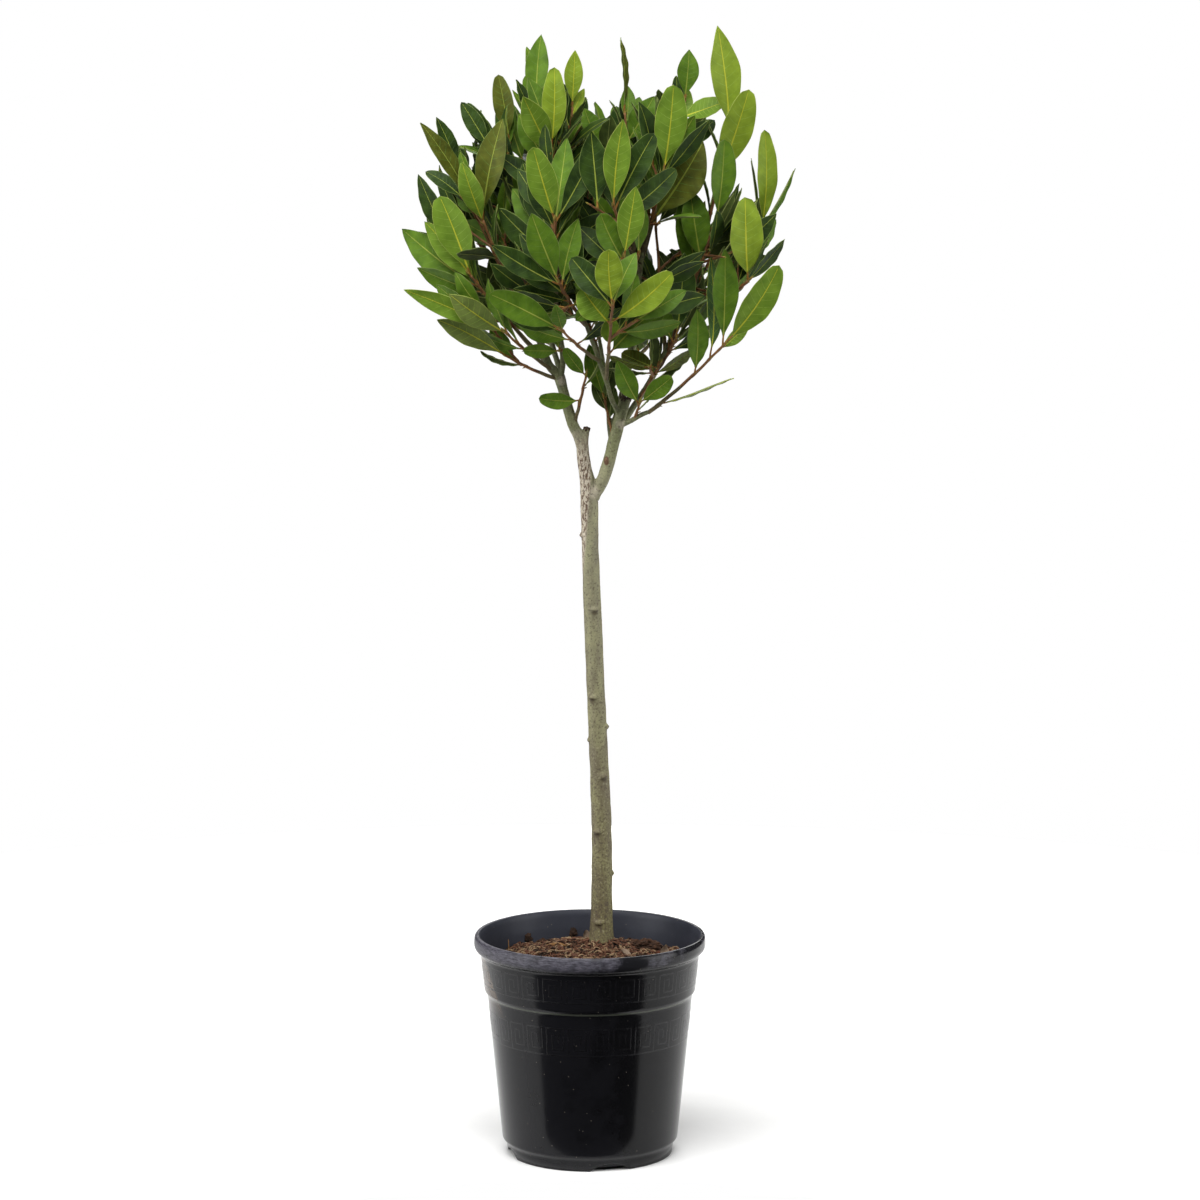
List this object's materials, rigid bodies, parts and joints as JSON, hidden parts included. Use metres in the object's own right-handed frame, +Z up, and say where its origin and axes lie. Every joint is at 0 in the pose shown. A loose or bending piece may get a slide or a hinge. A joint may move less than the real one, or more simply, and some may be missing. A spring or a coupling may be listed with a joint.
{
  "type": "standard bay laurel in a nursery pot",
  "caption": "Young bay laurel trained as a half-standard: a bare upright stem forking into an open leafy head, growing in a round black plastic nursery pot.",
  "frame": {"origin": "centre of the pot's flat underside, on the surface that the pot stands on", "axes": "+Z up along the stem, -Y towards the front of the plant, +X to the right seen from the front"},
  "size_m": [0.3131, 0.2381, 0.9209],
  "materials": {
    "pot_plastic": "injection-moulded black polypropylene, satin, scuffed along the lip",
    "compost": "loose peat and bark compost, rough and dark brown",
    "bark": "smooth grey-green bark with brown flecks, leaf scars and knots",
    "foliage": "leathery evergreen leaves, satin, with pale midribs and margins"
  },
  "bodies": {
    "root": {"bough_left": "bark", "bough_right": "bark", "branch_back": "bark", "branch_front": "bark", "branch_left_back": "bark", "branch_left_inner": "bark", "branch_right_back": "bark", "branch_right_inner": "bark", "branch_right_low": "bark", "branch_right_outer": "bark", "compost": "compost", "leaves_back_high": "foliage", "leaves_back_left": "foliage", "leaves_back_left_high": "foliage", "leaves_back_left_low": "foliage", "leaves_back_left_mid": "foliage", "leaves_back_low": "foliage", "leaves_back_middle": "foliage", "leaves_back_right": "foliage", "leaves_back_right_high": "foliage", "leaves_back_right_low": "foliage", "leaves_back_right_mid": "foliage", "leaves_centre_front": "foliage", "leaves_centre_middle": "foliage", "leaves_centre_peak": "foliage", "leaves_centre_top": "foliage", "leaves_heart": "foliage", "leaves_heart_left": "foliage", "leaves_heart_right": "foliage", "leaves_left_belly": "foliage", "leaves_left_crest": "foliage", "leaves_left_edge": "foliage", "leaves_left_fringe": "foliage", "leaves_left_front": "foliage", "leaves_left_low_front": "foliage", "leaves_left_peak": "foliage", "leaves_left_peak_inner": "foliage", "leaves_left_shoulder": "foliage", "leaves_left_side": "foliage", "leaves_left_top": "foliage", "leaves_low_centre": "foliage", "leaves_low_inner_right": "foliage", "leaves_low_left": "foliage", "leaves_low_left_upper": "foliage", "leaves_low_right": "foliage", "leaves_needle": "foliage", "leaves_right_belly": "foliage", "leaves_right_crown": "foliage", "leaves_right_fringe": "foliage", "leaves_right_peak": "foliage", "leaves_right_side": "foliage", "leaves_right_top": "foliage", "leaves_right_upper": "foliage", "leaves_spur_centre": "foliage", "leaves_spur_left": "foliage", "leaves_spur_right": "foliage", "pot": "pot_plastic", "trunk": "bark"}
  },
  "joints": []
}
